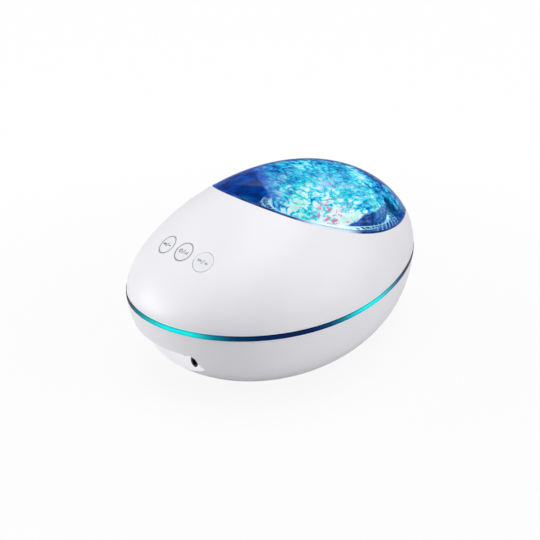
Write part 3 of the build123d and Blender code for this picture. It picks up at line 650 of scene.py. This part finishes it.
def deck_finish():
    """Navy tray with painted light: soft teal clouds of the lamp's light, and a painted glare in front of the
    ring.
    """
    finish, shader = new_finish("deck_navy", 0.35, specular_ior_level=0.3)
    clouds = mottle(finish, 10 * MM, 3.0)
    paint = ramp(finish, clouds, [(0.34, NIGHT), (0.48, NAVY), (0.58, PAINTED_TEAL_LIGHT), (0.70, BLUE)])
    local = dome_space(finish)
    x, y = split_axes(finish, local)[:2]
    by_ring = rescale(finish, radius_of(finish, x, y), BEZEL_REACH, BEZEL_REACH + 4 * MM, 1.0, 0.0)
    # Painted glare in front of the ring
    glare = times(finish, near(finish, local, DECK_GLARE, 8, 15, 0.9), by_ring)
    lit(finish, shader, blend(finish, glare, paint, GLARE), 0.6, 0.4)
    grain(finish, shader, 0.5 * MM, 0.01 * MM)
    return finish


def bezel_finish():
    """Clear blue ribs painted with light: painted highlights on their facets, at the lip and at the ribs' feet,
    and a painted glare in front.
    """
    finish, shader = new_finish("bezel_ribs", 0.12, coat_weight=0.2)
    local = dome_space(finish)
    x, y = split_axes(finish, local)[:2]
    facet_highlights = rescale(finish, rib_waves(finish, x, y), -1, 1, 0.0, 0.5)
    clouds = spread_noise(finish, mottle(finish, 2.2 * MM), 0.0, 0.5)
    level = plus(finish, facet_highlights, clouds, near(finish, local, BEZEL_GLARE, 10, 18, 0.8))
    paint = ramp(finish, level, [
        (0.44, NIGHT), (0.54, ROYAL), (0.64, BLUE), (0.72, TURQUOISE), (0.82, PALE), (1.0, GLARE),
    ])
    reach = rescale(finish, radius_of(finish, x, y), BEZEL_LIP, BEZEL_REACH, 0.0, 1.0)
    lit(finish, shader, blend(finish, ramp(finish, reach, BEZEL_HIGHLIGHT_LINES), paint, PALE), 0.85, 0.15)
    return finish


def seal_finish():
    """Dark rubber line with a painted glare of the dome where it passes close in front."""
    finish, shader = new_finish("seal_line", 0.35, specular_ior_level=0.2)
    rubber = ramp(finish, mottle(finish, 5 * MM), [(0.35, NIGHT), (0.65, ROYAL)])
    glare = near(finish, own_space(finish), SEAL_GLARE, 9, 18, 0.9)
    lit(finish, shader, blend(finish, glare, rubber, SEAL_LIGHT), 0.5, 0.5)
    grain(finish, shader, 0.4 * MM, 0.005 * MM)
    return finish


# Finishes of the hidden pieces, and the choice of each piece's finish

def diode_finish():
    """Yellow phosphor under clear resin, lit."""
    finish, shader = new_finish("diodes", 0.15, emission_strength=1.2, emission_color=(0.75, 0.9, 1.0, 1))
    tone(finish, shader, (0.95, 0.88, 0.5), 0.05, 2 * MM)
    grain(finish, shader, 0.3 * MM, 0.004 * MM)
    return finish


def circuit_finish(name, mask, copper):
    """A board's solder mask with tracks faintly raised under it."""
    finish, shader = new_finish(name, 0.3)
    pitch = 2.2 * MM
    cells = add_node(finish, "ShaderNodeTexVoronoi", {"Scale": 1 / pitch}, distance="CHEBYCHEV", feature="F1")
    wire(finish, own_space(finish), cells.inputs["Vector"])
    tracks = cells.outputs["Distance"]
    paint = ramp(finish, tracks, [(0.30, mask), (0.36, copper), (0.46, copper), (0.52, mask)])
    wire(finish, paint, shader.inputs["Base Color"])
    raise_surface(finish, shader, tracks, 0.4, 0.03 * MM)
    return finish


def make_finishes():
    """One finish for each of the record's material slots."""
    return {
        "case": white_case(),
        "button_caps": button_white(),
        "trim": plated_trim(),
        "cover": clear_cover_finish(),
        "seal": seal_finish(),
        "deck": deck_finish(),
        "bezel": bezel_finish(),
        "dome": wave_finish(),
        "gears": moulded("gear_acetal", (0.72, 0.71, 0.65), 0.35, 0.3 * MM, 0.006 * MM),
        "steel": brushed("screw_steel", (0.62, 0.63, 0.65), 0.28, (1, 1, 8)),
        "motor_can": brushed("motor_can", (0.52, 0.53, 0.55), 0.35, (1, 1, 0.1)),
        "lamp_cup": moulded("cup_black", (0.03, 0.032, 0.04), 0.45, 0.4 * MM, 0.015 * MM),
        "reflector": brushed("reflector_bright", (0.88, 0.89, 0.91), 0.08, (1, 1, 3)),
        "led_board": circuit_finish("lamp_board", (0.78, 0.78, 0.76), (0.66, 0.66, 0.62)),
        "leds": diode_finish(),
        "heat_sink": brushed("sink_aluminium", (0.68, 0.69, 0.71), 0.3, (8, 1, 1)),
        "feet": moulded("foot_rubber", (0.045, 0.045, 0.05), 0.75, 0.5 * MM, 0.03 * MM, 0.12),
        "board": circuit_finish("board_green", (0.015, 0.12, 0.05), (0.03, 0.22, 0.09)),
        "black_plastic": moulded("socket_black", (0.012, 0.012, 0.014), 0.4, 0.35 * MM, 0.015 * MM, 0.15),
        "can_sleeve": moulded("sleeve_navy", (0.02, 0.025, 0.06), 0.2, 0.5 * MM, 0.005 * MM),
        "plugs": moulded("plug_nylon", (0.72, 0.68, 0.52), 0.4, 0.3 * MM, 0.01 * MM),
        "speaker_metal": moulded("speaker_paint", (0.02, 0.02, 0.024), 0.4, 0.25 * MM, 0.01 * MM),
        "paper_cone": moulded("cone_paper", (0.03, 0.03, 0.033), 0.9, 0.4 * MM, 0.05 * MM, 0.2),
        "magnet": moulded("magnet_ferrite", (0.05, 0.05, 0.055), 0.55, 0.2 * MM, 0.02 * MM, 0.2),
    }


def dress_nodes(finishes):
    """Gives each CAD node the finish of its slot."""
    for part in frame["record"]["subparts"]:
        node = frame["nodes"][part["node"]]
        for holder in node.material_slots:
            holder.material = finishes[part["material_slot"]]
        if not node.material_slots:
            node.data.materials.append(finishes[part["material_slot"]])


# The wave dome

DOME_RADIUS = 29 * MM
DOME_WALL = 1.6 * MM
DOME_STEP = 2 * MM
DOME_HEIGHT = 20.5 * MM
FLANGE_RADIUS = 31.2 * MM
FLANGE_THICKNESS = 1.5 * MM
FLANGE_BEVEL = 0.3 * MM
COLLAR_OUTER = 25.35 * MM
COLLAR_INNER = 23.95 * MM
COLLAR_DROP = 10.5 * MM
WAVE_COUNT = 10
WAVE_DEPTH = 0.6 * MM
WAVE_FADE = radians(6)
QUARTER = radians(90)
OUTER_STEPS = 84
INNER_STEPS = 28
TURN_STEPS = 300


def crown_angle(spot):
    """Angle from the top of the outer crown, a half ellipsoid, or None off its skin."""
    across = hypot(spot.x, spot.y) / DOME_RADIUS
    up = (spot.z - DOME_STEP) / DOME_HEIGHT
    if up < -0.001 or abs(across * across + up * up - 1) > 0.002:
        return None
    return atan2(across, up)


def wave_height(spot, angle):
    """Height of the moulded waves, 0 to 1. Ten ring waves, bent and broken by shorter ones."""
    bend = 0.6 * noise.noise(spot / (9 * MM)) + 0.25 * noise.noise(spot / (4 * MM))
    ring_wave = 0.5 + 0.5 * cos(2 * pi * (WAVE_COUNT * angle / QUARTER + bend))
    short_wave = 0.5 + noise.noise(spot / (2.6 * MM))
    return max(0.0, min(1.0, 0.6 * ring_wave + 0.4 * short_wave))


def dome_profile():
    """Half section of the dome as radii and heights: down its outer skin, round the collar, up its inner skin."""
    outer = [QUARTER * step / OUTER_STEPS for step in range(OUTER_STEPS + 1)]
    inner = [QUARTER * step / INNER_STEPS for step in range(INNER_STEPS, -1, -1)]
    inner_radius = DOME_RADIUS - DOME_WALL
    return [(DOME_RADIUS * sin(angle), DOME_STEP + DOME_HEIGHT * cos(angle)) for angle in outer] + [
        (DOME_RADIUS, 0), (FLANGE_RADIUS - FLANGE_BEVEL, 0), (FLANGE_RADIUS, -FLANGE_BEVEL),
        (FLANGE_RADIUS, -FLANGE_THICKNESS), (COLLAR_OUTER, -FLANGE_THICKNESS), (COLLAR_OUTER, -COLLAR_DROP),
        (COLLAR_INNER, -COLLAR_DROP), (COLLAR_INNER, 0), (inner_radius, 0),
    ] + [(inner_radius * sin(angle), DOME_STEP + (DOME_HEIGHT - DOME_WALL) * cos(angle)) for angle in inner]


def mould_dome(finish):
    """The dome as one closed skin: its half section spun round, with waves pressed into the crown."""
    form = bmesh.new()
    corners = [form.verts.new((radius, 0, height)) for radius, height in dome_profile()]
    edges = [form.edges.new(pair) for pair in zip(corners, corners[1:])]
    bmesh.ops.spin(
        form, geom=corners + edges, cent=(0, 0, 0), axis=(0, 0, 1), dvec=(0, 0, 0),
        angle=2 * pi, steps=TURN_STEPS, use_merge=True, use_duplicate=False,
    )
    bmesh.ops.remove_doubles(form, verts=form.verts, dist=MERGE)
    bmesh.ops.recalc_face_normals(form, faces=form.faces)
    wave = form.verts.layers.float.new("wave")
    for corner in form.verts:
        angle = crown_angle(corner.co)
        if angle is None:
            corner[wave] = 0.45 + 0.4 * noise.noise(corner.co / (2 * MM))
            continue
        height = wave_height(corner.co, angle)
        corner[wave] = height
        fade = min(1.0, (QUARTER - angle) / WAVE_FADE)
        rise = (corner.co.z - DOME_STEP) / DOME_HEIGHT ** 2
        outward = Vector((corner.co.x / DOME_RADIUS ** 2, corner.co.y / DOME_RADIUS ** 2, rise))
        corner.co += outward.normalized() * WAVE_DEPTH * (height - 1) * fade
    bmesh.ops.transform(form, matrix=DOME_PLACE, verts=form.verts)
    dome = finish_piece(form, "rippled_dome", smooth=True)
    dome.data.materials.append(finish)
    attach(dome, "dome")
    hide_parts("wave_dome")


# Printing on the button caps. Places on a cap are in millimetres from its middle

INK_THICKNESS = 0.03 * MM
INK_SINK = 0.04 * MM
LINE = 0.34 * MM
MINUS_LINE = 0.42 * MM
PLUS_LINE = 0.4 * MM
ARROW_RADIUS = 0.75 * MM
RING_RADIUS = 4.72
RING_LINE = 0.26 * MM
ABOVE_CAP = 8 * MM


def bar(form, start, end, width=LINE):
    """A printed stroke between two points."""
    start, end = Vector((*start, 0)) * MM, Vector((*end, 0)) * MM
    run = end - start
    place = (
        Matrix.Translation((start + end) / 2)
        @ Matrix.Rotation(atan2(run.y, run.x), 4, "Z")
        @ Matrix.Diagonal((run.length / 2, width / 2, 1, 1))
    )
    bmesh.ops.create_grid(form, x_segments=6, y_segments=1, size=1, matrix=place)


def arrowhead(form, x, pointing):
    """A printed triangle that points along +X or -X."""
    turn = Matrix.Rotation(-pi / 2 if pointing > 0 else pi / 2, 4, "Z")
    place = Matrix.Translation(Vector((x, 0, 0)) * MM) @ turn
    bmesh.ops.create_circle(form, cap_ends=True, segments=3, radius=ARROW_RADIUS, matrix=place)


def arc_stroke(form, x, radius, width, start, sweep, steps):
    """A printed arc or circle, its place and radius in millimetres."""
    centre = Vector((x, 0, 0)) * MM
    along = Vector((cos(radians(start)), sin(radians(start)), 0))
    ends = [form.verts.new(centre + along * (radius * MM + side * width / 2)) for side in (-1, 1)]
    edge = form.edges.new(ends)
    bmesh.ops.spin(
        form, geom=ends + [edge], cent=centre, axis=(0, 0, 1), dvec=(0, 0, 0),
        angle=radians(sweep), steps=steps, use_merge=sweep == 360, use_duplicate=False,
    )


def slash(form):
    """The stroke between a sign's two halves."""
    bar(form, (-0.45, -1.15), (0.5, 1.2))


def ring(form):
    """A circle just inside the cap's edge."""
    arc_stroke(form, 0, RING_RADIUS, RING_LINE, 0, 360, 72)


def minus_sign(form):
    """Previous, and minus."""
    bar(form, (-3.1, -0.6), (-3.1, 0.6))
    arrowhead(form, -2.3, -1)
    arrowhead(form, -1.3, -1)
    slash(form)
    bar(form, (1.1, 0), (2.9, 0), MINUS_LINE)


def mode_sign(form):
    """Power, and three rising bars."""
    arc_stroke(form, -2.1, 0.85, LINE, 125, 290, 20)
    bar(form, (-2.1, 0.1), (-2.1, 1.15))
    slash(form)
    for place, top in ((1.2, 0.1), (1.95, 0.5), (2.7, 0.95)):
        bar(form, (place, -0.7), (place, top))


def plus_sign(form):
    """Next, and plus."""
    arrowhead(form, -2.9, 1)
    arrowhead(form, -1.9, 1)
    bar(form, (-1.15, -0.6), (-1.15, 0.6))
    slash(form)
    bar(form, (1.2, 0), (2.8, 0), PLUS_LINE)
    bar(form, (2.0, -0.8), (2.0, 0.8), PLUS_LINE)


def lay_print(draw, name, button, shift, finish):
    """Drapes flat printing over a cap and gives it the thickness of ink."""
    form = bmesh.new()
    draw(form)
    cap = frame["nodes"][f"button_{button}"]
    cap_skin = BVHTree.FromObject(cap, bpy.context.evaluated_depsgraph_get())
    place = BUTTON_PLACE @ Matrix.Translation((shift, 0, 0))
    up = (BUTTON_PLACE.to_3x3() @ Vector((0, 0, 1))).normalized()
    bmesh.ops.recalc_face_normals(form, faces=form.faces)
    raised = bmesh.ops.extrude_face_region(form, geom=list(form.faces))
    top = {item for item in raised["geom"] if isinstance(item, bmesh.types.BMVert)}
    for corner in form.verts:
        skin = cap_skin.ray_cast(place @ corner.co + up * ABOVE_CAP, -up)[0]
        corner.co = skin + up * (INK_THICKNESS if corner in top else -INK_SINK)
    bmesh.ops.remove_doubles(form, verts=form.verts, dist=MERGE)
    bmesh.ops.recalc_face_normals(form, faces=form.faces)
    ink = finish_piece(form, name)
    ink.data.materials.append(finish)
    body = f"{button}_button"
    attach(ink, body)


def print_buttons():
    """Rings on two of the three caps, and a sign on each. One grey ink is given three tones, paler from one cap
    to the next as painted shade.
    """
    # Painted shade: the same ink, darkest on the minus cap and palest on the plus cap
    dark = print_ink("ink_painted_shade_dark", (0.03, 0.03, 0.035))
    mid = print_ink("ink_painted_shade_mid", (0.10, 0.10, 0.11))
    pale = print_ink("ink_painted_shade_pale", (0.25, 0.25, 0.27))
    # The rings are print and partly painted shade of the gap round each cap; the plus cap has none, so that it
    # shows paler
    lay_print(ring, "ring_minus", "minus", -BUTTON_PITCH, dark)
    lay_print(ring, "ring_mode", "mode", 0, mid)
    lay_print(minus_sign, "sign_minus", "minus", -BUTTON_PITCH, dark)
    lay_print(mode_sign, "sign_mode", "mode", 0, mid)
    lay_print(plus_sign, "sign_plus", "plus", BUTTON_PITCH, pale)


bpy.context.scene.view_settings.view_transform = "Standard"
aim_camera()
light_room()
lay_floor()
finishes = make_finishes()
dress_nodes(finishes)
mould_dome(finishes["dome"])
print_buttons()
